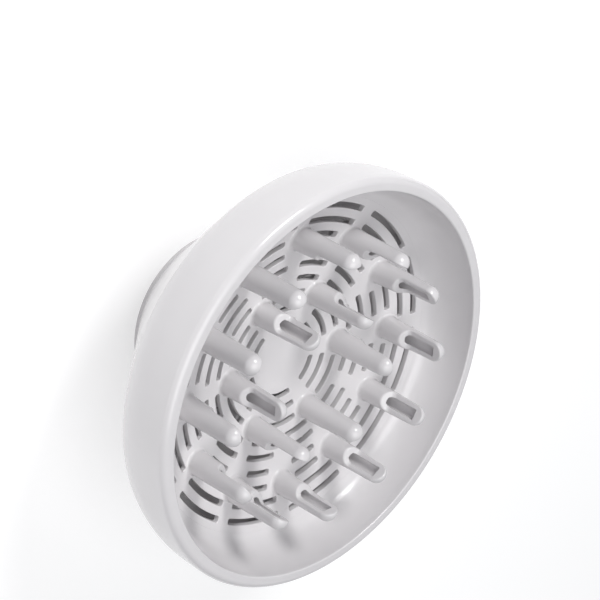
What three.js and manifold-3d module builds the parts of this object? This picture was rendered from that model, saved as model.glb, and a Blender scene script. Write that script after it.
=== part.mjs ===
// Hair-dryer diffuser: a wide bowl with a slotted dish and eighteen hollow air fingers,
// a funnel behind it, and a swivelling collar that pushes onto the dryer's nozzle.
// Millimetres, +Z out of the bowl. The origin is the centre of the collar's end face,
// on which the diffuser stands, so the fingers point up.
import * as THREE from "three";
import { mergeVertices } from "three/addons/utils/BufferGeometryUtils.js";
import Module from "manifold-3d";

const wasm = await Module();
wasm.setup();

// ---- Driving dimensions -------------------------------------------------------------

const FIT = 0.3;                  // clearance between neighbouring pieces
const WALL = 2.2;                 // moulded wall of the bowl, the dish and the funnel

// Bowl
const RIM_RADIUS = 75;            // outside of the rim
const RIM_HEIGHT = 66;            // rim plane above the collar's end face
const LIP_WIDTH = 4.9;            // rounded lip, from the outside to the inner wall
const LIP_CREST = 1.4;            // crest of the lip above the rim plane
const LIP_EDGE = 0.6;             // tighter rounding on the lip's inner edge
const SKIRT_DEPTH = 22.6;         // rim plane down to the skirt's rear edge
const SKIRT_TAPER = 3.5;          // how much the skirt draws in at its rear edge
const WALL_CURVE_WIDTH = 7.5;     // inner wall's curved foot, measured along the radius

// Slotted dish
const DISH_DEPTH = 24.75;         // rim plane down to the middle of the dish
const DISH_RISE = 7.85;           // how much the dish rises from its middle to its edge
const EDGE_STEP = 2.7;            // flange of the dish that tucks under the bowl's foot
const FLANGE_EDGE = 1.65;         // thickness of that flange
const FOOT_THICKNESS = 1.2;       // bowl's foot above that flange
const FIRST_SLOT_RADIUS = 14.3;
const SLOT_PITCH = 5.57;          // between neighbouring rings of slots
const SLOT_WIDTH = 2.2;
const OUTER_MARGIN = 1.8;         // least land between the last slots and the dish's edge
const LEDGE_WIDTH = 1.5;          // seat on the dish's back for the funnel's ledge
const RIB_WIDTH = 5.5;            // solid spokes between slots of one ring
const LAND_SHIFT = 1.6;           // solid land round a finger lies this much inwards

// Fingers
const FINGER_LENGTH = 27;         // dish to the top of the rounded tip
const FINGER_ROOT_RADIUS = 4.4;
const FINGER_DRAFT = 0.7;         // how much thinner the finger is at its tip
const FINGER_BORE_RADIUS = 1.95;
const FINGER_FLANGE_WIDTH = 1;    // flange behind the dish, beyond the finger's root
const FINGER_FLANGE_THICKNESS = 1.2;
const CUT_HEEL_HEIGHT = 10;       // where the finger's cut starts, above the dish
const CUT_STEP_HEIGHT = 2.1;      // height in which the cut falls to its flat
const CUT_FLAT_OFFSET = 0.7;      // flat of the cut, beside the finger's axis
const CUT_FILLET = 1;             // where the cut's step turns into its flat
const TIP_THICKNESS = 3.6;        // closed end above the finger's bore
const FLARE_WIDTH = 0.9;          // raised flare of the dish round a finger's root
const FLARE_HEIGHT = 1.2;

// Rings of fingers: how many, how far inside the dish's edge, and the land without slots
// that each finger keeps beyond its root.
const OUTER_RING = { name: "outer_finger", count: 12, inset: 15, land: 2.6, faces: "centre" };
const INNER_RING = { name: "inner_finger", count: 6, inset: 36.9, land: 1.4, faces: "rim" };

// Collar and funnel neck
const SLEEVE_RADIUS = 28.9;       // outside of the collar's sleeve
const SLEEVE_WALL = 2.5;
const SLEEVE_HEIGHT = 17.5;
const FLANGE_WIDTH = 3.1;         // collar's end flange beyond its sleeve
const FLANGE_THICKNESS = 2.9;
const NECK_HEIGHT = 9.8;          // straight neck inside the funnel
const NECK_WALL = 2.2;
const FUNNEL_OVERHANG = 1.6;      // funnel's end beyond the collar's flange
const FUNNEL_INSET = 0.7;         // funnel's edge inside the skirt's edge
const FUNNEL_CHAMFER = 0.6;
const CONE_WALL = 3;              // cone's wall, measured along the radius
const LEDGE_THICKNESS = 1.3;      // funnel's ledge behind the dish's flange
const GROOVE_DEPTH = 1.2;         // sleeve's groove for the retaining ring
const RING_THICKNESS = 1.6;
const RING_WIDTH = 3;
const RING_GAP = 6;               // opening of the C-shaped retaining ring
const GRIP_WALL = 2.1;            // soft grip that holds the nozzle
const GRIP_RIB_COUNT = 12;
const GRIP_RIB_HEIGHT = 0.9;
const GRIP_RIB_WIDTH = 1.8;
const GRIP_LIP = 1.8;             // sleeve's inward lip above the soft grip
const GRIP_LIP_THICKNESS = 1.2;
const GRIP_RECESS = 0.8;          // end face of the soft grip, inside the collar
const EDGE_CHAMFER = 0.8;         // on the collar's flange

// Air deflector
const DEFLECTOR_MARGIN = 2.3;     // deflector's rim inside the inner fingers' flanges
const DEFLECTOR_WALL = 1.6;
const DEFLECTOR_RISE = 5;         // rim of the deflector above its hub
const DEFLECTOR_HUB_RADIUS = 5;
const DEFLECTOR_GAP = 6;          // length of the boss that holds it off the dish
const BOSS_RADIUS = 4.2;
const SCREW_SHANK_RADIUS = 1.2;
const SCREW_LENGTH = 8;
const SCREW_HEAD_RADIUS = 2.9;
const SCREW_HEAD_HEIGHT = 2;
const SCREW_CROWN_RADIUS = 2;     // flat top of the screw's head
const SCREW_CROWN_HEIGHT = 1;     // slope of the head, from its flat top to its side
const SCREW_POINT = 1;
const SCREW_RECESS_WIDTH = 0.9;

// Facets round a full turn
const BOWL_FACETS = 48;
const DISH_FACETS = 36;
const SLEEVE_FACETS = 36;
const FINGER_FACETS = 12;
const SMALL_FACETS = 12;
const ARC_STEPS = 3;              // facets across a fingertip, a fillet or the lip
const SLOT_CHORD = 8;             // longest straight piece in a slot's long sides
const SLOTS_PER_BEND = 3;         // rings of slots between two bends of the dish
const OVERCUT = 1;                // how far a cutter passes the face that it cuts

// ---- Derived places -----------------------------------------------------------------

const FULL_TURN = Math.PI * 2;
const FINGER_TIP_RADIUS = FINGER_ROOT_RADIUS - FINGER_DRAFT;
const FINGER_FLANGE_RADIUS = FINGER_ROOT_RADIUS + FINGER_FLANGE_WIDTH;
const FLANGE_RADIUS = SLEEVE_RADIUS + FLANGE_WIDTH;
const FUNNEL_END_RADIUS = FLANGE_RADIUS + FUNNEL_OVERHANG;
const DISH_RADIUS = RIM_RADIUS - LIP_WIDTH - WALL_CURVE_WIDTH;
const DISH_CENTRE = RIM_HEIGHT - DISH_DEPTH;
const SKIRT_EDGE = { radius: RIM_RADIUS - SKIRT_TAPER, height: RIM_HEIGHT - SKIRT_DEPTH };
const FLANGE_TOP = dishHeight(DISH_RADIUS) - FOOT_THICKNESS - FIT;
const FLANGE_BOTTOM = FLANGE_TOP - FLANGE_EDGE;
const FUNNEL_END = FLANGE_THICKNESS + FIT;
const FUNNEL_TOP = { radius: SKIRT_EDGE.radius - FUNNEL_INSET, height: SKIRT_EDGE.height - FIT };
const NECK_RADIUS = SLEEVE_RADIUS + FIT;
const NECK_TOP = FUNNEL_END + NECK_HEIGHT;
const DEFLECTOR_SEAT = DISH_CENTRE - WALL - DEFLECTOR_GAP;
const DEFLECTOR_RADIUS = ringRadius(INNER_RING) - FINGER_FLANGE_RADIUS - DEFLECTOR_MARGIN;

// Share of the skirt's taper and of its depth at each bend, from its rear edge up, and
// the same for the inner wall's curve, from the lip down to the dish.
const SKIRT_BENDS = [[0, 0], [0.49, 0.15], [0.86, 0.36], [1, 0.6]];
const WALL_BENDS = [[0.12, 0.55], [0.36, 0.28], [0.66, 0.09], [1, 0]];

const PLASTIC = { color: 0xd9d7da, roughness: 0.32, metalness: 0 };
const GREY_PLASTIC = { color: 0xb9b8bc, roughness: 0.45, metalness: 0 };
const SOFT_GRIP = { color: 0x77777b, roughness: 0.8, metalness: 0 };
const STEEL = { color: 0xb4b6ba, roughness: 0.35, metalness: 1 };

// Height of the dish's front face at a given radius: a shallow paraboloid.
function dishHeight(radius) {
  return DISH_CENTRE + DISH_RISE * (radius / DISH_RADIUS) ** 2;
}

// Radius on which a ring of fingers stands.
function ringRadius(ring) {
  return DISH_RADIUS - ring.inset;
}

// ---- Solid modelling helpers --------------------------------------------------------

// A closed geometry as a solid that can be joined and cut.
function solidOf(geometry) {
  const bare = geometry.clone();
  bare.deleteAttribute("normal");
  bare.deleteAttribute("uv");
  const merged = mergeVertices(bare, 1e-4);
  const corners = merged.index.array;
  const triangles = [];
  for (let i = 0; i < corners.length; i += 3) {
    const [a, b, c] = corners.slice(i, i + 3);
    if (a !== b && b !== c && c !== a) triangles.push(a, b, c);
  }
  const positions = new Float32Array(merged.getAttribute("position").array);
  const mesh = new wasm.Mesh({
    numProp: 3,
    vertProperties: positions,
    triVerts: new Uint32Array(triangles),
  });
  return new wasm.Manifold(mesh);
}

// The faceted surface of a solid.
function geometryOf(solid) {
  const surface = solid.getMesh();
  const geometry = new THREE.BufferGeometry();
  geometry.setAttribute("position", new THREE.BufferAttribute(surface.vertProperties, 3));
  geometry.setIndex(new THREE.BufferAttribute(surface.triVerts, 1));
  geometry.computeVertexNormals();
  return geometry;
}

// A profile of [radius, height] points, anticlockwise, turned round the Z axis.
function turned(profile, facets) {
  const closed = [...profile, profile[0]];
  const points = closed.map(([radius, height]) => new THREE.Vector2(radius, height));
  const geometry = new THREE.LatheGeometry(points, facets);
  return solidOf(geometry.rotateX(Math.PI / 2));
}

// A flat outline, extruded from one height to another.
function extruded(shape, bottom, top) {
  const geometry = new THREE.ExtrudeGeometry(shape, {
    depth: top - bottom,
    bevelEnabled: false,
    curveSegments: SMALL_FACETS,
  });
  return solidOf(geometry.translate(0, 0, bottom));
}

// Points on an arc from one angle to another, both ends included.
function arcPoints(cx, cy, radius, from, to, steps) {
  return Array.from({ length: steps + 1 }, (_, i) => {
    const angle = from + ((to - from) * i) / steps;
    return [cx + radius * Math.cos(angle), cy + radius * Math.sin(angle)];
  });
}

function shapeOf(points) {
  return new THREE.Shape(points.map(([x, y]) => new THREE.Vector2(x, y)));
}

function named(name, solid, look) {
  const mesh = new THREE.Mesh(geometryOf(solid), new THREE.MeshStandardMaterial(look));
  mesh.name = name;
  return mesh;
}

// ---- Bowl ---------------------------------------------------------------------------

// Skirt, lip and inner wall as one moulding. The lip is rounded outside, flat on top and
// tighter inside. The foot of the inner wall ends flush with the dish and overhangs the
// dish's flange.
function frontBowl() {
  const wallRadius = RIM_RADIUS - LIP_WIDTH;
  const footTop = dishHeight(DISH_RADIUS);
  const footBottom = footTop - FOOT_THICKNESS;
  const lipRadius = LIP_WIDTH / 2;
  const crest = RIM_HEIGHT + LIP_CREST;
  const lipCentre = crest - lipRadius;
  const wallFall = lipCentre - footTop;
  const seatRadius = DISH_RADIUS + EDGE_STEP + FIT;
  const skirt = SKIRT_BENDS.map(([out, up]) => [
    SKIRT_EDGE.radius + SKIRT_TAPER * out,
    SKIRT_EDGE.height + SKIRT_DEPTH * up,
  ]);
  const quarter = Math.PI / 2;
  const edgeCentre = [wallRadius + LIP_EDGE, crest - LIP_EDGE];
  const lip = [
    ...arcPoints(RIM_RADIUS - lipRadius, lipCentre, lipRadius, 0, quarter, ARC_STEPS),
    ...arcPoints(...edgeCentre, LIP_EDGE, quarter, 2 * quarter, ARC_STEPS),
  ];
  const innerWall = WALL_BENDS.map(([inwards, up]) => [
    wallRadius - WALL_CURVE_WIDTH * inwards,
    footTop + wallFall * up,
  ]);
  const [wallBend, wallRise] = innerWall[0];
  const underside = [
    [DISH_RADIUS, footBottom],
    [seatRadius, footBottom],
    [seatRadius, FLANGE_BOTTOM],
    [seatRadius + WALL / 2, FLANGE_BOTTOM],
    [wallBend + WALL, wallRise - WALL],
    [SKIRT_EDGE.radius - WALL / 2, FLANGE_TOP],
    [SKIRT_EDGE.radius - WALL, SKIRT_EDGE.height],
  ];
  return turned([...skirt, ...lip, ...innerWall, ...underside], BOWL_FACETS);
}

// ---- Slotted dish -------------------------------------------------------------------

function ringPlaces(ring) {
  const radius = ringRadius(ring);
  return Array.from({ length: ring.count }, (_, i) => ({
    angle: (FULL_TURN * i) / ring.count,
    radius,
  }));
}

// Round land that one finger of a ring keeps free of slots.
function landOf(ring) {
  return { centre: ringRadius(ring) - LAND_SHIFT, radius: FINGER_ROOT_RADIUS + ring.land };
}

// Half of the angle that a ring of fingers keeps free of slots at one slot radius.
function landAngle(slotRadius, ring) {
  const { centre, radius } = landOf(ring);
  if (Math.abs(slotRadius - centre) >= radius) return 0;
  const cosine = (slotRadius ** 2 + centre ** 2 - radius ** 2) / (2 * slotRadius * centre);
  return Math.acos(cosine);
}

// Where one ring's slots start and end. Rings inside the inner fingers have one slot
// for each gap between those fingers, and the others one for each outer finger's gap.
function slotSpans(slotRadius) {
  const innerLand = landOf(INNER_RING);
  const innerReach = innerLand.centre + innerLand.radius;
  const spokes = slotRadius < innerReach ? INNER_RING : OUTER_RING;
  const pitch = FULL_TURN / spokes.count;
  const spokeAngle = (RIB_WIDTH / 2 + SLOT_WIDTH / 2) / slotRadius;
  const endAngle = SLOT_WIDTH / 2 / slotRadius;
  const clear = (index) => {
    const onInner = (index * INNER_RING.count) % spokes.count === 0;
    const inner = onInner ? landAngle(slotRadius, INNER_RING) + endAngle : 0;
    const outer = spokes === OUTER_RING ? landAngle(slotRadius, OUTER_RING) + endAngle : 0;
    return Math.max(spokeAngle, inner, outer);
  };
  const spans = [];
  for (let i = 0; i < spokes.count; i += 1) {
    spans.push([i * pitch + clear(i), (i + 1) * pitch - clear(i + 1)]);
  }
  return spans.filter(([from, to]) => to - from > endAngle);
}

// A curved slot with pointed ends. The span runs between the centres of its ends.
function slotShape(slotRadius, from, to) {
  const half = SLOT_WIDTH / 2;
  const steps = Math.max(1, Math.round(((to - from) * slotRadius) / SLOT_CHORD));
  const outerArc = arcPoints(0, 0, slotRadius + half, from, to, steps);
  const innerArc = arcPoints(0, 0, slotRadius - half, to, from, steps);
  const endTip = (angle, side) => {
    const [x, y] = [slotRadius * Math.cos(angle), slotRadius * Math.sin(angle)];
    return [x - side * half * Math.sin(angle), y + side * half * Math.cos(angle)];
  };
  return shapeOf([...outerArc, endTip(to, 1), ...innerArc, endTip(from, -1)]);
}

// The dish before its slots and holes. Its front and back bend on the lands between
// rings of slots.
function dishBlank() {
  const edge = DISH_RADIUS - FIT;
  const reach = DISH_RADIUS + EDGE_STEP;
  const lastBend = edge - 2 * LEDGE_WIDTH;
  const bendPitch = SLOTS_PER_BEND * SLOT_PITCH;
  const bends = [0];
  for (let radius = FIRST_SLOT_RADIUS - SLOT_PITCH / 2; radius < lastBend; radius += bendPitch) {
    bends.push(radius);
  }
  const back = bends.map((radius) => [radius, dishHeight(radius) - WALL]);
  const front = [...bends, edge].map((radius) => [radius, dishHeight(radius)]).reverse();
  const flange = [
    [edge - LEDGE_WIDTH, FLANGE_BOTTOM],
    [reach, FLANGE_BOTTOM],
    [reach, FLANGE_TOP],
    [edge, FLANGE_TOP],
  ];
  return turned([...back, ...flange, ...front], DISH_FACETS);
}

// Raised flare that hides the joint between a finger's root and the dish.
function flare() {
  const top = FINGER_ROOT_RADIUS + FIT + FLARE_WIDTH / 2;
  const foot = FINGER_ROOT_RADIUS + FIT + FLARE_WIDTH;
  const sunk = -WALL / 2;
  const slope = [[foot, FIT], [top, FLARE_HEIGHT]];
  return turned([[0, sunk], [foot, sunk], ...slope, [0, FLARE_HEIGHT]], SMALL_FACETS);
}

// A round post on the Z axis.
function post(radius, bottom, top) {
  return turned([[0, bottom], [radius, bottom], [radius, top], [0, top]], SMALL_FACETS);
}

// Boss behind the dish that the deflector is screwed to, and the pilot hole in it.
function addBoss(plate) {
  const bottom = DEFLECTOR_SEAT + FIT;
  const pilotTop = DEFLECTOR_SEAT - DEFLECTOR_WALL + SCREW_LENGTH + FIT;
  const boss = post(BOSS_RADIUS, bottom, DISH_CENTRE - WALL / 2);
  const pilot = post(SCREW_SHANK_RADIUS + FIT, bottom - OVERCUT, pilotTop);
  return plate.add(boss).subtract(pilot);
}

function fingerPlate() {
  const low = DISH_CENTRE - 2 * WALL;
  const hole = post(FINGER_ROOT_RADIUS + FIT, low, RIM_HEIGHT);
  let plate = addBoss(dishBlank());
  for (const place of [...ringPlaces(OUTER_RING), ...ringPlaces(INNER_RING)]) {
    const x = place.radius * Math.cos(place.angle);
    const y = place.radius * Math.sin(place.angle);
    plate = plate.add(flare().translate([x, y, dishHeight(place.radius)]));
    plate = plate.subtract(hole.translate([x, y, 0]));
  }
  const lastRadius = DISH_RADIUS - FIT - OUTER_MARGIN - SLOT_WIDTH / 2;
  for (let radius = FIRST_SLOT_RADIUS; radius <= lastRadius; radius += SLOT_PITCH) {
    for (const [from, to] of slotSpans(radius)) {
      plate = plate.subtract(extruded(slotShape(radius, from, to), low, RIM_HEIGHT));
    }
  }
  return plate;
}

// ---- Air fingers --------------------------------------------------------------------

// A hollow tapered finger standing on z = 0, its cut facing +X. It is pushed in from
// behind, so a flange under the dish stops it.
function airFinger() {
  const steepest = (2 * DISH_RISE * ringRadius(OUTER_RING)) / DISH_RADIUS ** 2;
  const flangeTop = -(WALL + 2 * FIT + steepest * FINGER_FLANGE_RADIUS);
  const flangeBottom = flangeTop - FINGER_FLANGE_THICKNESS;
  const tipCentre = FINGER_LENGTH - FINGER_TIP_RADIUS;
  const tip = arcPoints(0, tipCentre, FINGER_TIP_RADIUS, 0, Math.PI / 2, ARC_STEPS);
  const outside = turned(
    [
      [0, flangeBottom],
      [FINGER_FLANGE_RADIUS, flangeBottom],
      [FINGER_FLANGE_RADIUS, flangeTop],
      [FINGER_ROOT_RADIUS, flangeTop],
      [FINGER_ROOT_RADIUS, FLARE_HEIGHT + FIT],
      ...tip.slice(0, -1),
      [0, FINGER_LENGTH],
    ],
    FINGER_FACETS,
  );
  const boreTop = FINGER_LENGTH - TIP_THICKNESS;
  const bore = post(FINGER_BORE_RADIUS, flangeBottom - OVERCUT, boreTop);
  return outside.subtract(bore).subtract(fingerCut());
}

// The block that the cut removes. Its step slopes in from the heel, and a fillet turns
// it into a flat that runs beside the finger's axis, out through the tip.
function fingerCut() {
  const taper = (FINGER_ROOT_RADIUS - FINGER_TIP_RADIUS) / (FINGER_LENGTH - FINGER_TIP_RADIUS);
  const heelRadius = FINGER_ROOT_RADIUS - taper * CUT_HEEL_HEIGHT;
  const stepWidth = heelRadius - CUT_FLAT_OFFSET;
  const stepAngle = Math.atan2(CUT_STEP_HEIGHT, stepWidth);
  const cornerHeight = CUT_HEEL_HEIGHT + CUT_STEP_HEIGHT;
  const far = 2 * FINGER_ROOT_RADIUS;
  const top = FINGER_LENGTH + FINGER_ROOT_RADIUS;
  const turnAngle = Math.PI / 2 - stepAngle;
  const filletRise = CUT_FILLET * Math.tan(turnAngle / 2);
  const centre = [CUT_FLAT_OFFSET + CUT_FILLET, cornerHeight + filletRise];
  const fillet = arcPoints(...centre, CUT_FILLET, Math.PI, Math.PI + turnAngle, ARC_STEPS);
  const outline = shapeOf([
    ...fillet,
    [far, cornerHeight - (far - CUT_FLAT_OFFSET) * Math.tan(stepAngle)],
    [far, top],
    [CUT_FLAT_OFFSET, top],
  ]);
  const block = extruded(outline, -far, far);
  return block.rotate([90, 0, 0]);
}

function fingerRing(ring, finger) {
  const group = new THREE.Group();
  ringPlaces(ring).forEach((place, index) => {
    const number = String(index + 1).padStart(2, "0");
    const mesh = named(`${ring.name}_${number}`, finger, PLASTIC);
    mesh.position.set(place.radius, 0, dishHeight(place.radius));
    mesh.rotation.z = ring.faces === "centre" ? Math.PI : 0;
    const spoke = new THREE.Group();
    spoke.rotation.z = place.angle;
    spoke.add(mesh);
    group.add(spoke);
  });
  return group;
}

// ---- Funnel -------------------------------------------------------------------------

// Cone from the skirt to the collar. Its top ring registers inside the skirt and backs
// the dish's flange, and its straight neck guides the collar's sleeve.
function rearHousing() {
  const spigotRadius = SKIRT_EDGE.radius - WALL - FIT;
  const ledgeTop = FLANGE_BOTTOM - FIT;
  const ledgeBottom = ledgeTop - LEDGE_THICKNESS;
  const neckOutside = NECK_RADIUS + NECK_WALL;
  const lowerBend = FUNNEL_END + FUNNEL_CHAMFER;
  const coneSlope = (FUNNEL_TOP.radius - FUNNEL_END_RADIUS) / (FUNNEL_TOP.height - lowerBend);
  const insideAt = (height) => FUNNEL_END_RADIUS + (height - lowerBend) * coneSlope - CONE_WALL;
  const upperInside = FUNNEL_TOP.height - FUNNEL_CHAMFER;
  const neckRise = Math.max(0, (neckOutside + CONE_WALL - FUNNEL_END_RADIUS) / coneSlope);
  const lowerInside = lowerBend + neckRise + FUNNEL_CHAMFER;
  return turned(
    [
      [NECK_RADIUS, FUNNEL_END],
      [FUNNEL_END_RADIUS - FUNNEL_CHAMFER, FUNNEL_END],
      [FUNNEL_END_RADIUS, lowerBend],
      [FUNNEL_TOP.radius, FUNNEL_TOP.height],
      [spigotRadius, FUNNEL_TOP.height],
      [spigotRadius, ledgeTop],
      [DISH_RADIUS - FIT, ledgeTop],
      [DISH_RADIUS - FIT, ledgeBottom],
      [insideAt(upperInside), upperInside],
      [insideAt(lowerInside), lowerInside],
      [neckOutside, lowerInside],
      [neckOutside, NECK_TOP],
      [NECK_RADIUS, NECK_TOP],
    ],
    BOWL_FACETS,
  );
}

// ---- Collar -------------------------------------------------------------------------

// Flanged sleeve that turns in the funnel's neck. A groove above the neck takes the
// retaining ring, and an inward lip stops the soft grip.
function dryerCollar() {
  const bore = SLEEVE_RADIUS - SLEEVE_WALL;
  const grooveRadius = SLEEVE_RADIUS - GROOVE_DEPTH;
  const grooveTop = NECK_TOP + RING_THICKNESS + 2 * FIT;
  const lipBottom = SLEEVE_HEIGHT - GRIP_LIP_THICKNESS;
  return turned(
    [
      [bore, 0],
      [FLANGE_RADIUS - EDGE_CHAMFER, 0],
      [FLANGE_RADIUS, EDGE_CHAMFER],
      [FLANGE_RADIUS, FLANGE_THICKNESS],
      [SLEEVE_RADIUS, FLANGE_THICKNESS],
      [SLEEVE_RADIUS, NECK_TOP],
      [grooveRadius, NECK_TOP],
      [grooveRadius, grooveTop],
      [SLEEVE_RADIUS, grooveTop],
      [SLEEVE_RADIUS, SLEEVE_HEIGHT],
      [bore - GRIP_LIP, SLEEVE_HEIGHT],
      [bore - GRIP_LIP, lipBottom],
      [bore, lipBottom],
    ],
    SLEEVE_FACETS,
  );
}

// C-shaped ring in the sleeve's groove, which keeps the collar in the neck.
function retainingRing() {
  const inner = SLEEVE_RADIUS - GROOVE_DEPTH + FIT;
  const outer = inner + RING_WIDTH;
  const half = RING_GAP / 2 / inner;
  const shape = shapeOf([
    ...arcPoints(0, 0, outer, half, FULL_TURN - half, SLEEVE_FACETS),
    ...arcPoints(0, 0, inner, FULL_TURN - half, half, SLEEVE_FACETS),
  ]);
  return extruded(shape, NECK_TOP + FIT, NECK_TOP + FIT + RING_THICKNESS);
}

// Soft ribbed liner that grips the dryer's nozzle. Each rib narrows towards its crest.
function gripSleeve() {
  const outer = SLEEVE_RADIUS - SLEEVE_WALL - FIT;
  const inner = outer - GRIP_WALL;
  const pitch = FULL_TURN / GRIP_RIB_COUNT;
  const footAngle = GRIP_RIB_WIDTH / 2 / inner;
  const crestAngle = footAngle / 2;
  const bore = [];
  for (let i = 0; i < GRIP_RIB_COUNT; i += 1) {
    const middle = i * pitch;
    const crest = inner - GRIP_RIB_HEIGHT;
    bore.push(...arcPoints(0, 0, crest, middle - crestAngle, middle + crestAngle, 1));
    bore.push(...arcPoints(0, 0, inner, middle + footAngle, middle + pitch - footAngle, 2));
  }
  const shape = shapeOf(arcPoints(0, 0, outer, 0, FULL_TURN, SLEEVE_FACETS).slice(0, -1));
  shape.holes.push(new THREE.Path(bore.map(([x, y]) => new THREE.Vector2(x, y))));
  return extruded(shape, GRIP_RECESS, SLEEVE_HEIGHT - GRIP_LIP_THICKNESS - FIT);
}

// ---- Air deflector ------------------------------------------------------------------

// Shallow cone behind the dish's hub that spreads the air to the outer slots.
function airDeflector() {
  const top = DEFLECTOR_SEAT;
  const bottom = top - DEFLECTOR_WALL;
  const hole = SCREW_SHANK_RADIUS + FIT;
  return turned(
    [
      [hole, bottom],
      [DEFLECTOR_HUB_RADIUS, bottom],
      [DEFLECTOR_RADIUS, bottom + DEFLECTOR_RISE],
      [DEFLECTOR_RADIUS, top + DEFLECTOR_RISE],
      [DEFLECTOR_HUB_RADIUS, top],
      [hole, top],
    ],
    SLEEVE_FACETS,
  );
}

function deflectorScrew() {
  const seat = DEFLECTOR_SEAT - DEFLECTOR_WALL - FIT;
  const headBottom = seat - SCREW_HEAD_HEIGHT;
  const screw = turned(
    [
      [0, headBottom],
      [SCREW_CROWN_RADIUS, headBottom],
      [SCREW_HEAD_RADIUS, headBottom + SCREW_CROWN_HEIGHT],
      [SCREW_HEAD_RADIUS, seat],
      [SCREW_SHANK_RADIUS, seat],
      [SCREW_SHANK_RADIUS, seat + SCREW_LENGTH - SCREW_POINT],
      [0, seat + SCREW_LENGTH],
    ],
    SMALL_FACETS,
  );
  const arm = new THREE.BoxGeometry(SCREW_HEAD_RADIUS, SCREW_RECESS_WIDTH, SCREW_HEAD_HEIGHT);
  const recess = solidOf(arm.translate(0, 0, headBottom));
  return screw.subtract(recess).subtract(recess.rotate([0, 0, 90]));
}

// ---- Assembly -----------------------------------------------------------------------

const diffuser = new THREE.Group();
diffuser.add(named("front_bowl", frontBowl(), PLASTIC));
diffuser.add(named("finger_plate", fingerPlate(), PLASTIC));
const finger = airFinger();
diffuser.add(fingerRing(OUTER_RING, finger));
diffuser.add(fingerRing(INNER_RING, finger));
diffuser.add(named("rear_housing", rearHousing(), PLASTIC));
diffuser.add(named("air_deflector", airDeflector(), GREY_PLASTIC));
diffuser.add(named("deflector_screw", deflectorScrew(), STEEL));

const collar = new THREE.Group();
collar.add(named("dryer_collar", dryerCollar(), PLASTIC));
collar.add(named("retaining_ring", retainingRing(), GREY_PLASTIC));
collar.add(named("grip_sleeve", gripSleeve(), SOFT_GRIP));
diffuser.add(collar);

export default diffuser;
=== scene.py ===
import math

import bmesh
import bpy
import numpy as np
from mathutils import Matrix, Vector
from mathutils.geometry import delaunay_2d_cdt


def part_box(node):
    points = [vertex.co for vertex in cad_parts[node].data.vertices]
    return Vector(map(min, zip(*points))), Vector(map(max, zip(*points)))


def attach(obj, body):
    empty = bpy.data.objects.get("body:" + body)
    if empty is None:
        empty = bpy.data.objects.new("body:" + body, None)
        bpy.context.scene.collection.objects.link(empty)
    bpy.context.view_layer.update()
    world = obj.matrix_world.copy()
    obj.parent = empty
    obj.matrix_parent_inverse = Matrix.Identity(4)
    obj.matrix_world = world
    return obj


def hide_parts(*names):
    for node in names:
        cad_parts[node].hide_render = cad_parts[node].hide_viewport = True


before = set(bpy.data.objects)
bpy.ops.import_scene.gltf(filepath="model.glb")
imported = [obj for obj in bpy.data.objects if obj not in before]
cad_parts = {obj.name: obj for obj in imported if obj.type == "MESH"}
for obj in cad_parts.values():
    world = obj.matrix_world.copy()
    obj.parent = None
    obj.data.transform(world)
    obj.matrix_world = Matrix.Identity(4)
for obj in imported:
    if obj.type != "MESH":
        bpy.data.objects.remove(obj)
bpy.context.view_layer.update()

# Hair-dryer diffuser, in fine form. Shapes are worked out in millimetres in the frame's
# own axes, and every mesh is written in metres. Each piece stands for one CAD node.
# Places come from the CAD nodes' boxes. A corner is (radius, height, rounding).

MM = 0.001
TURN = 2 * math.pi


def mm_box(node):
    """Lowest and highest corner of a CAD node, in millimetres."""
    low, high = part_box(node)
    return low / MM, high / MM


# ---- Places taken from the frame ----------------------------------------------------

BOWL_LOW, BOWL_HIGH = mm_box("front_bowl")
PLATE_LOW, PLATE_HIGH = mm_box("finger_plate")
HOUSING_LOW, HOUSING_HIGH = mm_box("rear_housing")
_, COLLAR_HIGH = mm_box("dryer_collar")
RING_LOW, RING_HIGH = mm_box("retaining_ring")
GRIP_LOW, GRIP_HIGH = mm_box("grip_sleeve")
DEFLECTOR_LOW, DEFLECTOR_HIGH = mm_box("air_deflector")
SCREW_LOW, SCREW_HIGH = mm_box("deflector_screw")
OUTER_LOW, OUTER_HIGH = mm_box("outer_finger_01")
INNER_LOW, INNER_HIGH = mm_box("inner_finger_01")

# ---- Sizes, in millimetres ----------------------------------------------------------

WALL = 2.2
GAP = 0.3                         # clearance between neighbouring pieces
SEAM = 0.02                       # hairline between the dish and what it meets
EDGE = 0.3                        # small moulded edge

RIM_RADIUS = BOWL_HIGH.x
SKIRT_EDGE = BOWL_LOW.z
SKIRT_EDGE_RADIUS = RIM_RADIUS - 3.5
LIP_RADIUS = 2.45
LIP_HEIGHT = BOWL_HIGH.z - LIP_RADIUS
LIP_EDGE = 0.6                    # tighter rounding on the lip's inner edge
SKIRT_STRAIGHT = 57               # the skirt curves in below this height

DISH_RADIUS = 62.6
DISH_RISE = 7.85
DISH_CENTRE = 41.25
FLANGE_TOP = DISH_CENTRE + DISH_RISE - 1.5
FLANGE_BOTTOM = FLANGE_TOP - 1.65

SLOT_FIRST = 14.3                 # radius of the first ring of slots
SLOT_PITCH = 5.57
SLOT_COUNT = 9
SLOT_HALF = 1.1
SLOT_CORNER = 0.7                 # rounding of a slot's ends
SLOT_EDGE = 0.3                   # rounding of a slot's edges
RIB_WIDTH = 5.5
LAND_SHIFT = 1.6                  # the land round a finger lies this much inwards
BOSS_RADIUS = 4.2
BOSS_FILLET = 0.8
PILOT_RADIUS = 1.5                # the screw's hole in the boss

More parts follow.
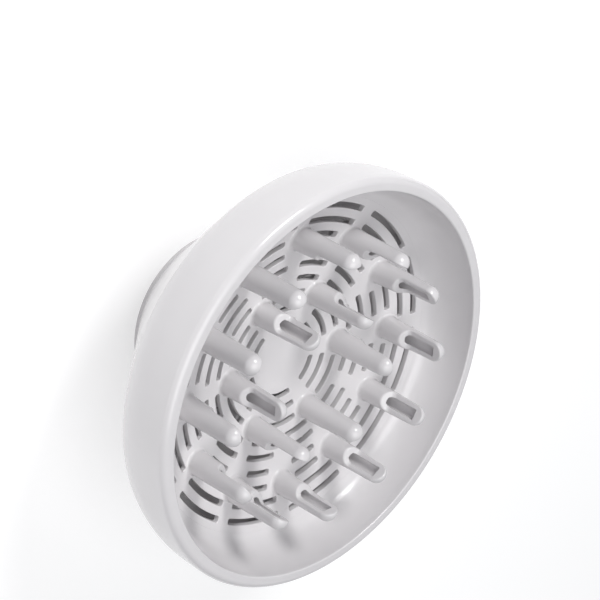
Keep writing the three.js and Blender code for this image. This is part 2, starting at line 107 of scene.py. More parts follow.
FINGER_LENGTH = 27
FINGER_ROOT = 4.4
FINGER_TIP = 3.7
FINGER_BORE = 1.95
BORE_TOP = 23.4
CUT_HEEL = 10
CUT_STEP = 2.1
CUT_FLAT = 0.7
CUT_FILLET = 1
CUT_EDGE = 0.45                   # rounding of the cut's outer edge
BORE_EDGE = 0.3
FINGER_FLANGE = 5.4
FINGER_FLANGE_THICKNESS = 1.2
ROOT_LAND = 0.05                  # crest of the dish's fillet, beside the finger
ROOT_FILLET_WIDTH = 0.85
ROOT_FILLET_HEIGHT = 1.2

OUTER = {
    "node": "outer_finger", "count": 12, "land": 7,
    "radius": (OUTER_LOW.x + OUTER_HIGH.x) / 2,
}
INNER = {
    "node": "inner_finger", "count": 6, "land": 5.8,
    "radius": (INNER_LOW.x + INNER_HIGH.x) / 2,
}

# ---- Fineness of the meshes ---------------------------------------------------------

LATHE_STEPS = 240                 # round a full turn
CURVE_STEPS = {"skirt": 16, "lip": 14, "lip_edge": 6, "wall": 28, "cone": 20}
HOLE_STEPS = 48                   # round a finger
BOSS_STEPS = 36
SLOT_EDGE_STEPS = 3
ROOT_FILLET_STEPS = 6
GRIP_STEPS = 360
FINGER_CELL = 0.38                # size of the finger mesh's faces
SCREW_CELL = 0.2
SHARP = math.radians(50)          # an edge that bends more than this stays crisp


def dish_height(radius):
    """Front face of the dish at a radius."""
    return DISH_CENTRE + DISH_RISE * (radius / DISH_RADIUS) ** 2


# ---- Meshes -------------------------------------------------------------------------

def add_mesh(name, points, faces, normals=None):
    """An object from points in millimetres, smooth but for its sharp edges."""
    mesh = bpy.data.meshes.new(name)
    mesh.from_pydata([tuple(p) for p in np.asarray(points, float) * MM], [], faces)
    shape = bmesh.new()
    shape.from_mesh(mesh)
    if normals is None:
        bmesh.ops.remove_doubles(shape, verts=shape.verts, dist=1e-7)
    bmesh.ops.recalc_face_normals(shape, faces=shape.faces)
    shape.to_mesh(mesh)
    shape.free()
    mesh.shade_smooth()
    if normals is None:
        mesh.normals_split_custom_set(corner_normals(mesh))
    else:
        mesh.normals_split_custom_set_from_vertices(normals)
    piece = bpy.data.objects.new(name, mesh)
    bpy.context.scene.collection.objects.link(piece)
    return piece


def corner_normals(mesh):
    """Normals weighted by face area, over the faces that bend less than a sharp edge."""
    count = len(mesh.polygons)
    normal = np.empty(count * 3)
    area = np.empty(count)
    sides = np.empty(count, int)
    vertex = np.empty(len(mesh.loops), int)
    mesh.polygons.foreach_get("normal", normal)
    mesh.polygons.foreach_get("area", area)
    mesh.polygons.foreach_get("loop_total", sides)
    mesh.loops.foreach_get("vertex_index", vertex)
    order = np.argsort(vertex, kind="stable")
    face = np.repeat(np.arange(count), sides)[order]
    vertex = vertex[order]
    normal = normal.reshape(-1, 3)[face]
    push = normal * area[face][:, None]
    total = push.copy()
    for shift in range(1, np.bincount(vertex).max()):
        near = vertex[shift:] == vertex[:-shift]
        near &= (normal[shift:] * normal[:-shift]).sum(axis=1) > math.cos(SHARP)
        total[shift:] += np.where(near[:, None], push[:-shift], 0)
        total[:-shift] += np.where(near[:, None], push[shift:], 0)
    result = np.empty_like(total)
    result[order] = total / np.linalg.norm(total, axis=1)[:, None]
    return result


def sweep(section, angles, closed):
    """Points and faces of a section, a function of the angle, carried round the Z axis."""
    points = []
    for angle in angles:
        for radius, height in section(angle):
            points.append((radius * math.cos(angle), radius * math.sin(angle), height))
    count = len(points) // len(angles)
    faces = []
    for i in range(len(angles) if closed else len(angles) - 1):
        here, ahead = i * count, (i + 1) % len(angles) * count
        for j in range(count):
            k = (j + 1) % count
            faces.append((here + j, ahead + j, ahead + k, here + k))
    if not closed:
        faces.append(tuple(range(count)))
        faces.append(tuple(range(len(points) - count, len(points))))
    return points, faces


def around(steps):
    """Evenly spread angles of a full turn."""
    return [TURN * i / steps for i in range(steps)]


def lathe(name, profile):
    """A piece turned round the Z axis."""
    angles = around(LATHE_STEPS)
    return add_mesh(name, *sweep(lambda angle: profile, angles, True))


def rounded(corners, steps=5):
    """A closed profile from corners of (radius, height, rounding)."""
    profile = []
    for i, (x, y, rounding) in enumerate(corners):
        here = Vector((x, y))
        if rounding == 0:
            profile.append((x, y))
            continue
        back = Vector(corners[i - 1][:2]) - here
        ahead = Vector(corners[(i + 1) % len(corners)][:2]) - here
        reach = rounding / math.tan(back.angle(ahead) / 2)
        start = here + back.normalized() * reach
        end = here + ahead.normalized() * reach
        for step in range(steps + 1):
            t = step / steps
            point = start * (1 - t) ** 2 + here * (2 * t * (1 - t)) + end * t ** 2
            profile.append((point.x, point.y))
    return profile


def arc(x, y, radius, start, steps):
    """Points of a quarter circle, anticlockwise from an angle."""
    points = []
    for step in range(steps + 1):
        angle = start + math.pi / 2 * step / steps
        points.append((x + radius * math.cos(angle), y + radius * math.sin(angle)))
    return points


def curve(start, pull, push, end, steps):
    """Points of a cubic curve between two points."""
    a, b, c, d = (Vector(p) for p in (start, pull, push, end))
    points = []
    for step in range(steps + 1):
        t = step / steps
        u = 1 - t
        points.append(tuple(a * u ** 3 + b * 3 * u * u * t + c * 3 * u * t * t + d * t ** 3))
    return points


# ---- Solids given by a distance field -----------------------------------------------

def meet(a, b, rounding):
    """Where two solids overlap, with the edge between them rounded."""
    bend = np.hypot(np.maximum(a + rounding, 0), np.maximum(b + rounding, 0))
    return np.minimum(np.maximum(a, b), -rounding) + bend


def slope(field, points):
    """Unit gradient of a field, and its value."""
    step = 1e-3
    x, y, z = points.T
    gradient = np.stack([
        field(x + step, y, z) - field(x - step, y, z),
        field(x, y + step, z) - field(x, y - step, z),
        field(x, y, z + step) - field(x, y, z - step),
    ], axis=1) / (2 * step)
    length = np.linalg.norm(gradient, axis=1)
    length[length < 1e-6] = 1
    return gradient / length[:, None], field(x, y, z) / length


def net(field, low, high, cell):
    """Points, quads and normals of the surface where a field is zero."""
    axes = [np.arange(a, b + cell, cell) for a, b in zip(low, high)]
    grid = np.stack(np.meshgrid(*axes, indexing="ij"), axis=-1)
    value = field(grid[..., 0], grid[..., 1], grid[..., 2])
    inside = value < 0
    cells = tuple(n - 1 for n in value.shape)
    total = np.zeros(cells + (3,))
    hits = np.zeros(cells)
    crossings = []
    for axis in range(3):
        near = [slice(None)] * 3
        far = [slice(None)] * 3
        near[axis], far[axis] = slice(None, -1), slice(1, None)
        near, far = tuple(near), tuple(far)
        crossing = inside[near] != inside[far]
        share = value[near] / np.where(crossing, value[near] - value[far], 1)
        place = grid[near] + (grid[far] - grid[near]) * share[..., None]
        crossings.append(crossing)
        one, two = [a for a in range(3) if a != axis]
        for i in (0, 1):
            for j in (0, 1):
                part = [slice(None)] * 3
                part[one] = slice(i, i + cells[one])
                part[two] = slice(j, j + cells[two])
                part = tuple(part)
                total += np.where(crossing[part][..., None], place[part], 0)
                hits += crossing[part]
    used = hits > 0
    number = np.full(cells, -1)
    number[used] = np.arange(used.sum())
    points = total[used] / hits[used][:, None]
    faces = []
    for axis in range(3):
        one, two = (axis + 1) % 3, (axis + 2) % 3
        for spot in np.argwhere(crossings[axis]):
            if min(spot[one], spot[two]) < 1:
                continue
            corners = []
            for i, j in ((-1, -1), (0, -1), (0, 0), (-1, 0)):
                index = spot.copy()
                index[one] += i
                index[two] += j
                corners.append(int(number[tuple(index)]))
            faces.append(corners if inside[tuple(spot)] else corners[::-1])
    for _ in range(4):
        normals, gap = slope(field, points)
        points = points - normals * np.clip(gap, -cell / 2, cell / 2)[:, None]
    normals, _ = slope(field, points)
    return points, faces, normals


# ---- Bowl and funnel ----------------------------------------------------------------

def front_bowl():
    """Skirt, lip, inner wall and hollow underside, as one turned section."""
    edge = (SKIRT_EDGE_RADIUS, SKIRT_EDGE)
    straight = (RIM_RADIUS, SKIRT_STRAIGHT)
    skirt = curve(edge, (72.9, 45.6), (RIM_RADIUS, 50.5), straight, CURVE_STEPS["skirt"])
    lip = arc(RIM_RADIUS - LIP_RADIUS, LIP_HEIGHT, LIP_RADIUS, 0, CURVE_STEPS["lip"])
    wall_radius = RIM_RADIUS - 2 * LIP_RADIUS
    edge_centre = (wall_radius + LIP_EDGE, BOWL_HIGH.z - LIP_EDGE)
    lip += arc(*edge_centre, LIP_EDGE, math.pi / 2, CURVE_STEPS["lip_edge"])
    brow = (wall_radius, LIP_HEIGHT)
    foot = (DISH_RADIUS - SEAM, dish_height(DISH_RADIUS))
    wall = curve(brow, (69.6, 56.5), (66.9, 50.3), foot, CURVE_STEPS["wall"])
    seat_radius = DISH_RADIUS + 3
    seat_height = FLANGE_TOP + GAP
    hollow_top = (71.4, 54.6, 2)
    hollow_side = (SKIRT_EDGE_RADIUS - WALL / 2, FLANGE_TOP, 1)
    under = rounded([
        (DISH_RADIUS - SEAM, seat_height, 0),
        (seat_radius, seat_height, EDGE),
        (seat_radius, FLANGE_BOTTOM, EDGE),
        (seat_radius + WALL / 2, FLANGE_BOTTOM, EDGE),
        hollow_top,
        hollow_side,
        (SKIRT_EDGE_RADIUS - WALL, SKIRT_EDGE, 0),
    ])
    return lathe("fine_bowl", skirt + lip + wall + under)


def rear_housing():
    """Cone, spigot inside the skirt, ledge under the dish and neck round the collar."""
    top_radius, top = HOUSING_HIGH.x, SKIRT_EDGE - GAP
    end_radius, end = 33.6, HOUSING_LOW.z
    chamfer = 0.4
    end_chamfer = 0.6             # along the cone
    start = (end_radius, end + end_chamfer)
    stop = (top_radius, top - chamfer)
    cone = curve(start, (45.7, 16.6), (58.4, 29.7), stop, CURVE_STEPS["cone"])
    spigot = SKIRT_EDGE_RADIUS - WALL - GAP
    ledge = DISH_RADIUS - GAP
    ledge_bottom = HOUSING_HIGH.z - 1.3
    inside_top = (67.3, 42.5, 2)
    inside_bottom = 5.2
    neck_inside, neck_outside = 29.2, 31.4
    neck_top = COLLAR_HIGH.z - 4.5
    inner = rounded([
        (top_radius - chamfer, top, 0),
        (spigot, top, 0),
        (spigot, HOUSING_HIGH.z, EDGE),
        (ledge, HOUSING_HIGH.z, EDGE),
        (ledge, ledge_bottom, 0.5),
        inside_top,
        (neck_outside + 0.5, inside_bottom, 0),
        (neck_outside, inside_bottom, 0.2),
        (neck_outside, neck_top, EDGE),
        (neck_inside, neck_top, EDGE),
        (neck_inside, end, EDGE),
        (end_radius - chamfer, end, 0),
    ])
    return lathe("fine_housing", cone + inner)


# ---- Slotted dish -------------------------------------------------------------------

def finger_places(ring):
    """Place and direction of each finger of a ring."""
    for i in range(ring["count"]):
        angle = TURN * i / ring["count"]
        yield ring["radius"] * math.cos(angle), ring["radius"] * math.sin(angle), angle


def land_angle(radius, ring):
    """Half angle that a ring of fingers keeps free of slots at one slot radius."""
    centre = ring["radius"] - LAND_SHIFT
    if abs(radius - centre) >= ring["land"]:
        return 0
    cosine = (radius ** 2 + centre ** 2 - ring["land"] ** 2) / (2 * radius * centre)
    return math.acos(cosine)


def slot_spans(radius):
    """Start and end angle of each slot of one ring, between the centres of its ends."""
    reach = INNER["radius"] + INNER["land"] - LAND_SHIFT
    count = INNER["count"] if radius < reach else OUTER["count"]
    spoke = (RIB_WIDTH / 2 + SLOT_HALF) / radius
    end = SLOT_HALF / radius

    def clear(index):
        free = spoke
        if index * INNER["count"] % count == 0:
            free = max(free, land_angle(radius, INNER) + end)
        if count == OUTER["count"]:
            free = max(free, land_angle(radius, OUTER) + end)
        return free

    for i in range(count):
        start = i * TURN / count + clear(i)
        stop = (i + 1) * TURN / count - clear(i + 1)
        if stop - start > end:
            yield start, stop


def slots():
    """Radius, start and end of every slot."""
    for i in range(SLOT_COUNT):
        radius = SLOT_FIRST + i * SLOT_PITCH
        for start, stop in slot_spans(radius):
            yield radius, start, stop


def slot_loop(radius, start, stop, grow):
    """Outline of a slot, grown on all sides, as points in the XY plane."""
    shift = (SLOT_HALF - SLOT_CORNER) / radius
    start, stop = start - shift, stop + shift
    steps = max(2, math.ceil((stop - start) * radius / 1.3))
    side = SLOT_HALF - SLOT_CORNER
    corner = SLOT_CORNER + grow

    def at(angle, out, along):
        r = radius + out
        return (
            r * math.cos(angle) - along * math.sin(angle),
            r * math.sin(angle) + along * math.cos(angle),
        )

    def bend(angle, out, along, steps):
        """Quarter circles that leave a side, and those that come back to one."""
        for q in steps:
            yield at(angle, out * (side + corner * math.cos(q)), along * corner * math.sin(q))

    spread = [start + (stop - start) * i / steps for i in range(steps + 1)]
    leaving = [math.pi / 2 * i / 4 for i in range(1, 5)]
    coming = [math.pi / 2 - q for q in [0] + leaving[:-1]]
    loop = [at(a, SLOT_HALF + grow, 0) for a in spread]
    loop += bend(stop, 1, 1, leaving)
    loop += bend(stop, -1, 1, coming)
    loop += [at(a, -SLOT_HALF - grow, 0) for a in reversed(spread)]
    loop += bend(start, -1, -1, leaving)
    loop += bend(start, 1, -1, coming)
    return loop


def circle(x, y, radius, count):
    """Points of a circle in the XY plane."""
    return [
        (x + radius * math.cos(TURN * i / count), y + radius * math.sin(TURN * i / count))
        for i in range(count)
    ]


def slot_gap(points, all_slots):
    """Distance from each point to the nearest slot's outline, negative inside it."""
    radius = np.hypot(points[:, 0], points[:, 1])
    angle = np.arctan2(points[:, 1], points[:, 0])
    best = np.full(len(points), 1e9)
    for slot_radius, start, stop in all_slots:
        middle, half = (start + stop) / 2, (stop - start) / 2
        off = np.abs((angle - middle + math.pi) % TURN - math.pi)
        past = np.maximum(off - half, 0) * slot_radius
        best = np.minimum(best, np.hypot(radius - slot_radius, past) - SLOT_HALF)
    return best


def dish_sheet(rounds, rim, grow, all_slots):
    """Points and triangles that fill the dish between its slots and round features."""
    points, edges = [], []

    def add_loop(loop):
        first = len(points)
        points.extend(loop)
        edges.extend((first + i, first + (i + 1) % len(loop)) for i in range(len(loop)))

    add_loop(circle(0, 0, rim, LATHE_STEPS))
    for slot in all_slots:
        add_loop(slot_loop(*slot, grow))
    for x, y, radius, count in rounds:
        add_loop(circle(x, y, radius, count))
    filler = []
    for i in range(1, 2 * SLOT_COUNT + 6):
        radius = i * SLOT_PITCH / 2 - 1
        count = max(6, round(radius * TURN / 2.6))
        filler += circle(0, 0, radius, count)
    filler = np.array(filler)
    keep = np.hypot(filler[:, 0], filler[:, 1]) < rim - 0.8
    keep &= slot_gap(filler, all_slots) > grow + 0.7
    for x, y, radius, _ in rounds:
        keep &= np.hypot(filler[:, 0] - x, filler[:, 1] - y) > radius + 0.7
    points.extend(map(tuple, filler[keep]))
    flat, _, triangles, *_ = delaunay_2d_cdt([Vector(p) for p in points], edges, [], 0, 1e-6)
    flat = np.array([tuple(p) for p in flat])
    triangles = np.array(triangles)
    centre = flat[triangles].mean(axis=1)
    keep = slot_gap(centre, all_slots) > grow - 0.02
    for x, y, radius, _ in rounds:
        keep &= np.hypot(centre[:, 0] - x, centre[:, 1] - y) > radius - 0.02
    return flat, triangles[keep]


class Builder:
    """Gathers the points and faces of one closed surface."""

    def __init__(self):
        self.points = []
        self.faces = []

    def strip(self, loops):
        """Quads between loops of the same number of points."""
        count = len(loops[0])
        first = len(self.points)
        for loop in loops:
            self.points.extend(loop)
        for i in range(len(loops) - 1):
            for j in range(count):
                k = (j + 1) % count
                a, b = first + i * count, first + (i + 1) * count
                self.faces.append((a + j, a + k, b + k, b + j))

    def sheet(self, flat, triangles, height):
        """Triangles at the height that a function gives for each point's radius."""
        first = len(self.points)
        for x, y in flat:
            self.points.append((x, y, height(math.hypot(x, y))))
        self.faces.extend(tuple(int(c) + first for c in triangle) for triangle in triangles)

    def cap(self, loop):
        """One face that closes a loop."""
        first = len(self.points)
        self.points.extend(loop)
        self.faces.append(tuple(range(first, first + len(loop))))


def lifted(loop, height):
    """A flat loop at the height that a function gives for each point's radius."""
    return [(x, y, height(math.hypot(x, y))) for x, y in loop]


def ring_loop(radius, height, steps):
    """A level circle round the Z axis."""
    return [(x, y, height) for x, y in circle(0, 0, radius, steps)]


def slot_wall(slot, front, back):
    """Loops down through a slot, round its front edge and its back edge."""
    bends = [math.pi / 2 * i / SLOT_EDGE_STEPS for i in range(SLOT_EDGE_STEPS + 1)]
    steps = [
        (SLOT_EDGE * (1 - math.sin(bend)), SLOT_EDGE * (1 - math.sin(math.pi / 2 - bend)))
        for bend in bends
    ]
    loops = [lifted(slot_loop(*slot, grow), lambda r: front(r) - drop) for grow, drop in steps]
    steps.reverse()
    loops += [lifted(slot_loop(*slot, grow), lambda r: back(r) + drop) for grow, drop in steps]
    return loops


def finger_hole(x, y, front, foot, hole):
    """Loops up the fillet round a finger, and down through its hole."""
    steps = []
    for i in range(ROOT_FILLET_STEPS + 1):
        bend = math.pi / 2 * i / ROOT_FILLET_STEPS
        rise = ROOT_FILLET_HEIGHT * (1 - math.cos(bend))
        steps.append((foot - ROOT_FILLET_WIDTH * math.sin(bend), rise))
    steps += [(hole, ROOT_FILLET_HEIGHT), (hole, -WALL)]
    return [
        lifted(circle(x, y, radius, HOLE_STEPS), lambda r: front(r) + rise)
        for radius, rise in steps
    ]


def boss_profile(back):
    """The boss behind the hub, from its fillet to the end of the screw's hole."""
    bottom = PLATE_LOW.z
    pilot_end = DISH_CENTRE - 2.1
    return [
        (BOSS_RADIUS + BOSS_FILLET, back(BOSS_RADIUS + BOSS_FILLET)),
        (BOSS_RADIUS + BOSS_FILLET / 4, back(0) - BOSS_FILLET / 4),
        (BOSS_RADIUS, back(0) - BOSS_FILLET),
        (BOSS_RADIUS, bottom + EDGE),
        (BOSS_RADIUS - EDGE, bottom),
        (PILOT_RADIUS, bottom),
        (PILOT_RADIUS, pilot_end),
    ]


def finger_plate():
    """The dish: two skins joined along the slots, the finger holes and the rim."""
    front = dish_height
    back = lambda radius: dish_height(radius) - WALL
    all_slots = list(slots())
    fingers = [place for ring in (OUTER, INNER) for place in finger_places(ring)]
    hole = FINGER_ROOT + SEAM
    foot = hole + ROOT_LAND + ROOT_FILLET_WIDTH
    front_rounds = [(x, y, foot, HOLE_STEPS) for x, y, _ in fingers]
    back_rounds = [(x, y, hole, HOLE_STEPS) for x, y, _ in fingers]
    back_rounds.append((0, 0, BOSS_RADIUS + BOSS_FILLET, BOSS_STEPS))
    rim = DISH_RADIUS - 2 * SEAM
    seat = DISH_RADIUS - 1.8      # the back ends here, inside the flange
    reach = PLATE_HIGH.x
    body = Builder()
    body.sheet(*dish_sheet(front_rounds, rim, SLOT_EDGE, all_slots), front)
    body.sheet(*dish_sheet(back_rounds, seat, SLOT_EDGE, all_slots), back)
    for slot in all_slots:
        body.strip(slot_wall(slot, front, back))
    for x, y, _ in fingers:
        body.strip(finger_hole(x, y, front, foot, hole))
    boss = [ring_loop(*point, BOSS_STEPS) for point in boss_profile(back)]
    body.strip(boss)
    body.cap(boss[-1])
    body.strip([ring_loop(*point, LATHE_STEPS) for point in (
        (rim, front(rim)),
        (rim, FLANGE_TOP),
        (reach - EDGE, FLANGE_TOP),
        (reach, FLANGE_TOP - EDGE),
        (reach, FLANGE_BOTTOM + EDGE),
        (reach - EDGE, FLANGE_BOTTOM),
        (seat + 0.1, FLANGE_BOTTOM),
        (seat, back(seat)),
    )])
    return add_mesh("fine_dish", body.points, body.faces)


# ---- Air fingers --------------------------------------------------------------------

def finger_field(x, y, z):
    """Distance to a finger standing on z = 0 whose cut faces +X."""
    across = np.hypot(x, y)
    tip_centre = FINGER_LENGTH - FINGER_TIP
    taper = (FINGER_ROOT - FINGER_TIP) / tip_centre
    shaft = across - (FINGER_ROOT - taper * z)
    dome = np.hypot(across, z - tip_centre) - FINGER_TIP
    body = np.where(z > tip_centre, dome, shaft)
    bottom = OUTER_LOW.z - (OUTER_HIGH.z - FINGER_LENGTH)
    body = meet(body, bottom - z, EDGE)
    middle = bottom + FINGER_FLANGE_THICKNESS / 2
    flange = meet(across - FINGER_FLANGE, np.abs(z - middle) - FINGER_FLANGE_THICKNESS / 2, EDGE)
    heel_radius = FINGER_ROOT - taper * CUT_HEEL
    step = np.array([CUT_STEP, heel_radius - CUT_FLAT])
    step = step / np.linalg.norm(step)
    above = (x - CUT_FLAT) * step[0] + (z - CUT_HEEL - CUT_STEP) * step[1]
    cut = meet(CUT_FLAT - x, -above, CUT_FILLET)
    bore = meet(across - FINGER_BORE, z - BORE_TOP, EDGE)
    solid = meet(np.minimum(body, flange), -cut, CUT_EDGE)
    return meet(solid, -bore, BORE_EDGE)


def air_fingers():
    """All fingers, from one shared mesh."""
    bottom = OUTER_LOW.z - OUTER_HIGH.z + FINGER_LENGTH
    margin = 0.7
    reach = FINGER_FLANGE + margin
    low = (-reach, -reach, bottom - margin)
    high = (reach, reach, FINGER_LENGTH + margin)
    points, faces, normals = net(finger_field, low, high, FINGER_CELL)
    pattern = add_mesh("fine_finger", points, faces, normals)
    made = []
    for ring, facing in ((OUTER, math.pi), (INNER, 0)):
        for i, (x, y, angle) in enumerate(finger_places(ring)):
            node = f"{ring['node']}_{i + 1:02d}"
            piece = bpy.data.objects.new("fine_" + node, pattern.data)
            bpy.context.scene.collection.objects.link(piece)
            place = Matrix.Translation(Vector((x, y, dish_height(ring["radius"]))) * MM)
            piece.matrix_world = place @ Matrix.Rotation(angle + facing, 4, "Z")
            made.append((piece, node))
    bpy.data.objects.remove(pattern)
    return made


# ---- Collar -------------------------------------------------------------------------

def dryer_collar():
    """End flange and grooved sleeve, with an inward lip above the soft grip."""
    flange, flange_top = COLLAR_HIGH.x, 2.9
    bore, sleeve = 26.4, 28.9
    groove = sleeve - 1.2
    groove_bottom, groove_top = RING_LOW.z - GAP, RING_HIGH.z + GAP
    top = COLLAR_HIGH.z
    lip, lip_bottom = bore - 1.8, top - 1.2
    return lathe("fine_collar", rounded([
        (bore, 0, 0.4),
        (flange, 0, 0.8),
        (flange, flange_top, EDGE),
        (sleeve, flange_top, 0.2),
        (sleeve, groove_bottom, 0.15),
        (groove, groove_bottom, 0.15),
        (groove, groove_top, 0.15),
        (sleeve, groove_top, 0.15),
        (sleeve, top, 0.4),
        (lip, top, 0.4),
        (lip, lip_bottom, 0.4),
        (bore, lip_bottom, 0.2),
    ]))


def retaining_ring():
    """A C-shaped ring with rounded ends."""
    inner, outer = 28.0, RING_HIGH.y
    low, high = RING_LOW.z, RING_HIGH.z
    half = 3 / inner              # half angle of its opening
    edge = 0.25
    half_width = 1.5              # of its section, which shrinks at its ends
    profile = rounded([
        (inner, low, edge), (outer, low, edge), (outer, high, edge), (inner, high, edge),
    ])
    middle = ((inner + outer) / 2, (low + high) / 2)

    def section(angle):
        end = min(angle - half, TURN - half - angle) * inner
        shrink = edge * (1 - math.sqrt(1 - (1 - min(end, edge) / edge) ** 2))
        squeeze = 1 - shrink / half_width
        return [
            (middle[0] + (r - middle[0]) * squeeze, middle[1] + (z - middle[1]) * squeeze)
            for r, z in profile
        ]

    ends = [edge * i / 4 / inner for i in range(4)]
    steps = 200
    first = half + ends[-1]
    span = TURN - 2 * half - 2 * ends[-1]
    angles = [half + end for end in ends]
    angles += [first + span * i / steps for i in range(1, steps)]
    angles += [TURN - half - end for end in reversed(ends)]
    return add_mesh("fine_retaining_ring", *sweep(section, angles, False))


def grip_sleeve():
    """A soft liner with ribs along its bore."""
    outer, inner = GRIP_HIGH.x, 24.0
    low, high = GRIP_LOW.z, GRIP_HIGH.z
    ribs, rib_height, rib_half = 12, 0.9, 0.72
    lead = 0.5                    # how much the bore widens at the nozzle's end

    def section(angle):
        off = abs((angle * ribs / TURN + 0.5) % 1 - 0.5) * TURN / ribs * inner
        bore = inner - rib_height * math.exp(-((off / rib_half) ** 4))
        return rounded([
            (outer, low, 0.25),
            (outer, high, 0.25),
            (inner + 0.2, high, 0.3),
            (bore, high - 1.2, 0.4),
            (bore, low + 2.2, 0.8),
            (inner + lead, low, 0.2),
        ], 4)

    return add_mesh("fine_grip_sleeve", *sweep(section, around(GRIP_STEPS), True))


# ---- Air deflector ------------------------------------------------------------------

def air_deflector():
    """A shallow dished disc with a flat hub and a hole for its screw."""
    low, high = DEFLECTOR_LOW.z, DEFLECTOR_HIGH.z
    wall = 1.6
    hub, edge = 5, DEFLECTOR_HIGH.x
    return lathe("fine_deflector", rounded([
        (PILOT_RADIUS, low, 0.2),
        (hub, low, 1.5),
        (edge, high - wall, 0.5),
        (edge, high, 0.5),
        (hub, low + wall, 1.5),
        (PILOT_RADIUS, low + wall, 0.2),
    ], 6))


def deflector_screw():
    """A screw with a domed head, a cross recess and a thread."""
    bottom = SCREW_LOW.z
    seat = bottom + 2
    shank, head, dome_radius = 1.2, 2.9, 3.4
    thread_depth, thread_pitch = 0.32, 1.1
    stem_middle, stem_half = seat + 3.6, 4.2
    arm_half, arm_width_half, arm_depth = 1.7, 0.42, 1.1

    def field(x, y, z):
        across = np.hypot(x, y)
        turn = np.arctan2(y, x) / TURN
        thread = shank - thread_depth * np.abs((z / thread_pitch - turn) % 1 - 0.5) * 2
        stem = meet(across - thread, np.abs(z - stem_middle) - stem_half, 0.3)
        dome = np.hypot(across, z - bottom - dome_radius) - dome_radius
        top = meet(meet(across - head, z - seat, 0.25), dome, 0.3)
        arm = lambda u, v: meet(np.abs(u) - arm_half, np.abs(v) - arm_width_half, 0.1)
        recess = meet(np.minimum(arm(x, y), arm(y, x)), z - bottom - arm_depth, 0.15)
        return meet(np.minimum(stem, top), -recess, 0.12)

    reach = head + 0.4
    low = (-reach, -reach, SCREW_LOW.z - 0.4)
    high = (reach, reach, SCREW_HIGH.z + 0.4)
    return add_mesh("fine_screw", *net(field, low, high, SCREW_CELL))


# ---- Materials ----------------------------------------------------------------------

def new_material(name):
    material = bpy.data.materials.new(name)
    material.use_nodes = True
    nodes = material.node_tree.nodes
    return material, nodes, material.node_tree.links, nodes["Principled BSDF"]


def noise(nodes, links, scale, detail=4.0):
    """A noise texture in the piece's own coordinates, in repeats per metre."""
    place = nodes.new("ShaderNodeTexCoord")
    texture = nodes.new("ShaderNodeTexNoise")
    texture.inputs["Scale"].default_value = scale
    texture.inputs["Detail"].default_value = detail
    links.new(place.outputs["Object"], texture.inputs["Vector"])
    return texture.outputs["Fac"]


def tint(nodes, links, factor, dark, light, shader):
    """Base colour that drifts between two near shades."""
    ramp = nodes.new("ShaderNodeValToRGB")
    ramp.color_ramp.elements[0].position = 0.3
    ramp.color_ramp.elements[1].position = 0.7
    ramp.color_ramp.elements[0].color = (*dark, 1)
    ramp.color_ramp.elements[1].color = (*light, 1)
    links.new(factor, ramp.inputs["Fac"])
    links.new(ramp.outputs["Color"], shader.inputs["Base Color"])


def vary_roughness(nodes, links, factor, low, high, shader):
    spread = nodes.new("ShaderNodeMapRange")
    spread.inputs["To Min"].default_value = low
    spread.inputs["To Max"].default_value = high
    links.new(factor, spread.inputs["Value"])
    links.new(spread.outputs["Result"], shader.inputs["Roughness"])


def grain(nodes, links, factor, strength, distance, shader):
    """Fine relief, its height in metres."""
    bump = nodes.new("ShaderNodeBump")
    bump.inputs["Strength"].default_value = strength
    bump.inputs["Distance"].default_value = distance
    links.new(factor, bump.inputs["Height"])
    links.new(bump.outputs["Normal"], shader.inputs["Normal"])


def pearl_plastic():
    """Softly glossy pale plastic, with a faint cloudy tint and uneven gloss."""
    material, nodes, links, shader = new_material("pearl_plastic")
    dark, light = (0.698, 0.681, 0.690), (0.723, 0.707, 0.715)
    tint(nodes, links, noise(nodes, links, 45), dark, light, shader)
    vary_roughness(nodes, links, noise(nodes, links, 160), 0.18, 0.28, shader)
    shader.inputs["IOR"].default_value = 1.5
    shader.inputs["Coat Weight"].default_value = 0.15
    shader.inputs["Coat Roughness"].default_value = 0.12
    return material


def grey_plastic():
    """Mid grey plastic, matt, with a fine moulded grain."""
    material, nodes, links, shader = new_material("grey_plastic")
    dark, light = (0.24, 0.235, 0.24), (0.27, 0.265, 0.27)
    tint(nodes, links, noise(nodes, links, 70), dark, light, shader)
    vary_roughness(nodes, links, noise(nodes, links, 300), 0.45, 0.6, shader)
    grain(nodes, links, noise(nodes, links, 2500, 3), 0.35, 0.0001, shader)
    return material


def soft_grip():
    """Dark grey soft rubber."""
    material, nodes, links, shader = new_material("soft_grip")
    dark, light = (0.035, 0.035, 0.037), (0.055, 0.055, 0.058)
    tint(nodes, links, noise(nodes, links, 120), dark, light, shader)
    vary_roughness(nodes, links, noise(nodes, links, 400), 0.65, 0.85, shader)
    grain(nodes, links, noise(nodes, links, 3500, 3), 0.4, 0.0001, shader)
    return material


def steel():
    """Bright plated steel."""
    material, nodes, links, shader = new_material("steel")
    shader.inputs["Metallic"].default_value = 1
    dark, light = (0.52, 0.52, 0.54), (0.66, 0.66, 0.67)
    tint(nodes, links, noise(nodes, links, 900), dark, light, shader)
    vary_roughness(nodes, links, noise(nodes, links, 2000), 0.22, 0.4, shader)
    grain(nodes, links, noise(nodes, links, 4000, 3), 0.2, 0.00005, shader)
    return material


# ---- Stage, lights and camera -------------------------------------------------------

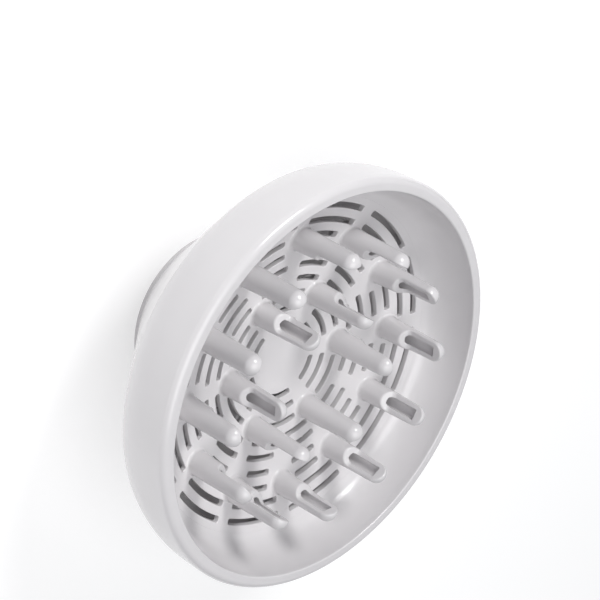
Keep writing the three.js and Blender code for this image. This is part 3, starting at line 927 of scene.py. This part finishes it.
def floor():
    """A pale table, faintly lit from below."""
    reach = 60
    glow = 0.52
    mesh = bpy.data.meshes.new("floor")
    corners = [(-reach, -reach, 0), (reach, -reach, 0), (reach, reach, 0), (-reach, reach, 0)]
    mesh.from_pydata(corners, [], [(0, 1, 2, 3)])
    piece = bpy.data.objects.new("floor", mesh)
    bpy.context.scene.collection.objects.link(piece)
    material, nodes, links, shader = new_material("pale_floor")
    dark, light = (0.58, 0.58, 0.58), (0.6, 0.6, 0.6)
    tint(nodes, links, noise(nodes, links, 3), dark, light, shader)
    shader.inputs["Roughness"].default_value = 0.9
    shader.inputs["Specular IOR Level"].default_value = 0.1
    shader.inputs["Emission Color"].default_value = (1, 1, 1, 1)
    shader.inputs["Emission Strength"].default_value = glow
    mesh.materials.append(material)


def soft_light(name, place, size, power):
    """A round lamp that faces the object; place and size are in metres."""
    middle = Vector((0, 0, 0.05))
    data = bpy.data.lights.new(name, "AREA")
    data.shape = "DISK"
    data.size = size
    data.energy = power
    light = bpy.data.objects.new(name, data)
    light.location = place
    light.rotation_euler = (middle - Vector(place)).to_track_quat("-Z", "Y").to_euler()
    bpy.context.scene.collection.objects.link(light)


def lights():
    """A key from the left, a weak fill, a broad top light and an even sky."""
    soft_light("key", (-0.68, -0.28, 0.66), size=0.3, power=4.5)
    soft_light("fill", (0.5, -0.9, 0.4), size=1.0, power=0.2)
    soft_light("top", (0.2, -0.45, 1.3), size=1.2, power=9.5)
    world = bpy.data.worlds.new("studio")
    world.use_nodes = True
    sky = world.node_tree.nodes["Background"]
    sky.inputs["Color"].default_value = (0.96, 0.98, 1.04, 1)
    sky.inputs["Strength"].default_value = 0.27
    bpy.context.scene.world = world


def camera():
    """The photograph's view: from the front and above, with the camera rolled over."""
    place = Vector((-61.22, -481.36, 423.11))
    forward = Vector((0.06498, 0.77893, -0.62374)).normalized()
    up = Vector((-0.9044, -0.21818, -0.36668))
    right = forward.cross(up).normalized()
    up = right.cross(forward)
    data = bpy.data.cameras.new("camera")
    data.sensor_width = 36
    data.lens = 107.37
    data.clip_start = 0.01
    data.clip_end = 200
    view = bpy.data.objects.new("camera", data)
    turn = Matrix((right, up, -forward)).transposed().to_4x4()
    view.matrix_world = Matrix.Translation(place * MM) @ turn
    bpy.context.scene.collection.objects.link(view)
    bpy.context.scene.camera = view


# ---- Assembly -----------------------------------------------------------------------

camera()
lights()
floor()
bpy.context.scene.view_settings.view_transform = "Standard"

PEARL = ("pearl_plastic", pearl_plastic())
GREY = ("grey_plastic", grey_plastic())
RUBBER = ("soft_grip", soft_grip())
STEEL = ("steel", steel())

PIECES = [
    (front_bowl(), "front_bowl", "diffuser", PEARL),
    (finger_plate(), "finger_plate", "diffuser", PEARL),
    (rear_housing(), "rear_housing", "diffuser", PEARL),
    (air_deflector(), "air_deflector", "diffuser", GREY),
    (deflector_screw(), "deflector_screw", "diffuser", STEEL),
    (dryer_collar(), "dryer_collar", "collar", PEARL),
    (retaining_ring(), "retaining_ring", "collar", GREY),
    (grip_sleeve(), "grip_sleeve", "collar", RUBBER),
]
PIECES += [(piece, node, "diffuser", PEARL) for piece, node in air_fingers()]

for piece, node, body, (slot, material) in PIECES:
    if not piece.data.materials:
        piece.data.materials.append(material)
    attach(piece, body)
    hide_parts(node)
    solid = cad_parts[node].data
    solid.materials.clear()
    solid.materials.append(material)
